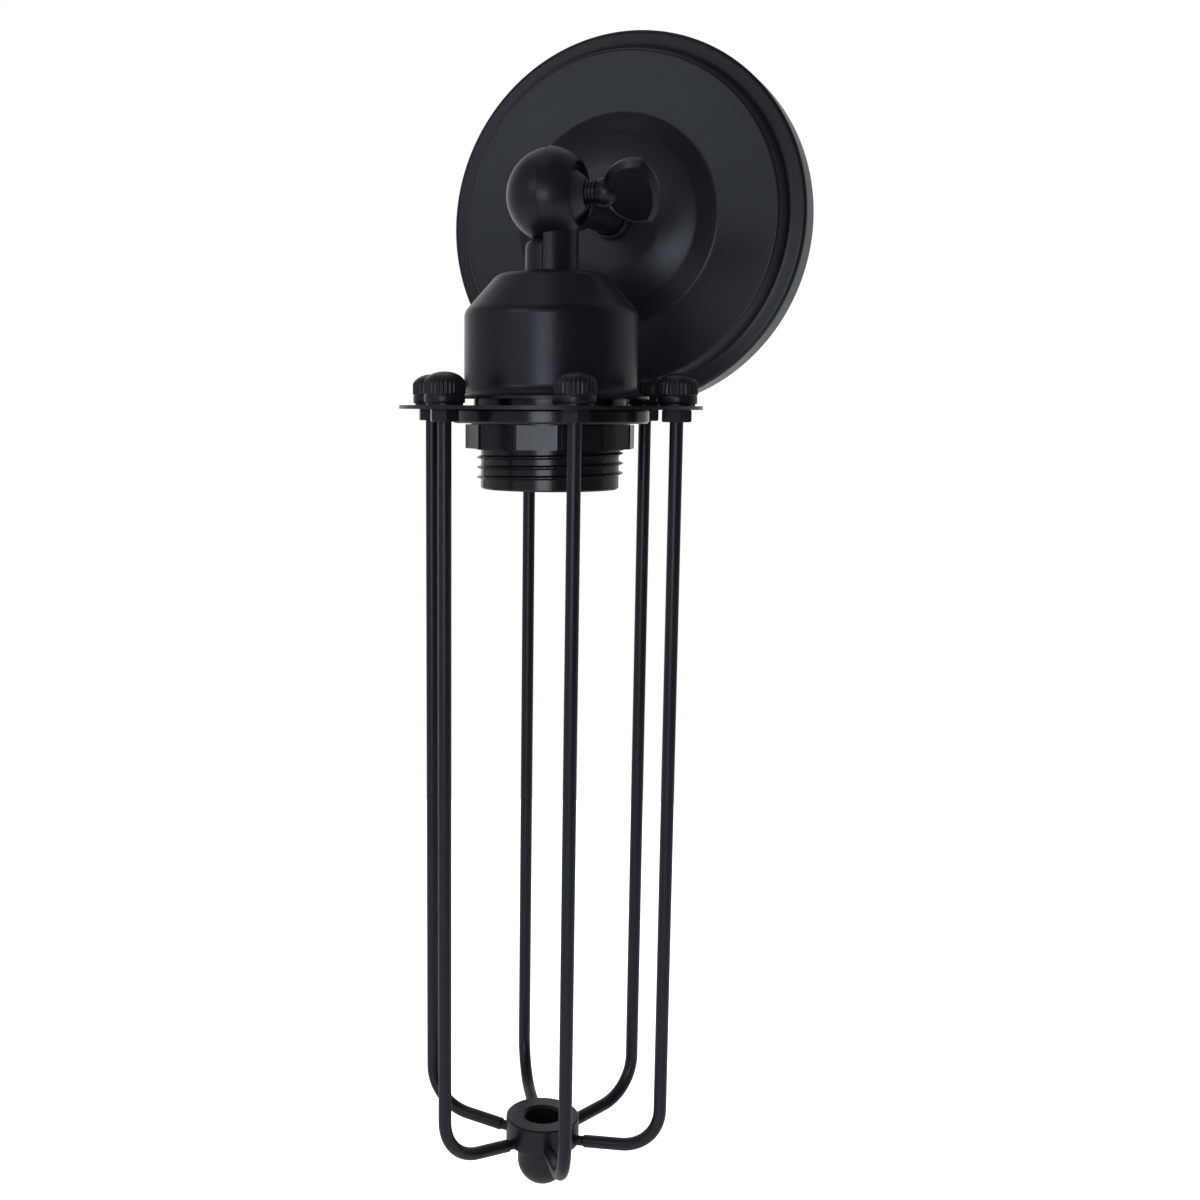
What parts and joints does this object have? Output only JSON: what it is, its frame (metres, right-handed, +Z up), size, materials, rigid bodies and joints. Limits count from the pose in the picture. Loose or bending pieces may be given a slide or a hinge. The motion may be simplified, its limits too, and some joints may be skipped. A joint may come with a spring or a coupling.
{
  "type": "cage wall light",
  "caption": "Adjustable wall light: a stepped round plate carries a split ball knuckle, and a lamp cup and a long cage of bent rods hang from it.",
  "frame": {"origin": "middle of the wall plate's back, on the wall", "axes": "+Z up, +Y into the wall, -Y into the room, +X to the right as seen from the room, where the clamp screw's paddle is"},
  "size_m": [0.112, 0.1152, 0.3391],
  "materials": {
    "plate_paint": "satin powder coat over pressed steel, near black",
    "knuckle_paint": "satin powder coat over cast and turned metal, near black",
    "thumb_screw_paint": "satin powder coat over cast metal, near black",
    "cup_paint": "satin powder coat over spun steel, near black",
    "cage_paint": "satin powder coat over steel rod and sheet, near black",
    "nut_metal": "blackened turned steel",
    "hub_paint": "satin powder coat over turned metal, near black",
    "washer_metal": "turned metal, dulled",
    "zinc_steel": "zinc plated, slightly dull",
    "dark_steel": "blackened steel",
    "brass": "plain brass, slightly dull",
    "holder_plastic": "glossy black moulded plastic",
    "terminal_plastic": "matte ivory moulded plastic",
    "contact_ceramic": "off-white insulating body"
  },
  "bodies": {
    "wall_body": {"wall_plate": "plate_paint", "mounting_bracket": "zinc_steel", "grub_screws": "dark_steel", "terminal_block": "terminal_plastic", "terminal_tubes": "brass", "terminal_screws": "zinc_steel", "terminal_fixing_screw": "zinc_steel", "earth_washer": "brass", "earth_screw": "brass", "arm_nipple": "knuckle_paint", "arm_washer": "zinc_steel", "arm_nut": "zinc_steel", "arm_collar": "knuckle_paint", "knuckle_wall_half": "knuckle_paint"},
    "lamp": {"knuckle_lamp_half": "knuckle_paint", "cone_washer": "washer_metal", "lamp_cup": "cup_paint", "lamp_nipple": "zinc_steel", "cup_lock_nut": "zinc_steel", "lampholder_cap": "holder_plastic", "contact_block": "contact_ceramic", "screw_shell": "brass", "centre_contact": "brass", "holder_terminal_screws": "brass", "lampholder_skirt": "holder_plastic", "shade_ring": "holder_plastic", "cage_ring": "cage_paint", "cage_rod_1": "cage_paint", "cage_rod_2": "cage_paint", "cage_rod_3": "cage_paint", "cage_rod_4": "cage_paint", "cage_rod_5": "cage_paint", "cage_rod_6": "cage_paint", "ring_washers": "nut_metal", "cap_nuts": "nut_metal", "hex_nuts": "nut_metal", "hub_ring": "hub_paint", "finial": "hub_paint"},
    "clamp_screw": {"thumb_screw": "thumb_screw_paint"}
  },
  "joints": [
    {"name": "lamp_tilt", "type": "hinge", "parent": "wall_body", "child": "lamp", "pos_m": [0, -0.074, 0], "axis": [-1, 0, 0], "range_deg": [-6, 180]},
    {"name": "thumb_screw_turn", "type": "hinge", "parent": "wall_body", "child": "clamp_screw", "pos_m": [0, -0.074, 0], "axis": [1, 0, 0], "range_deg": [0, 360]}
  ]
}
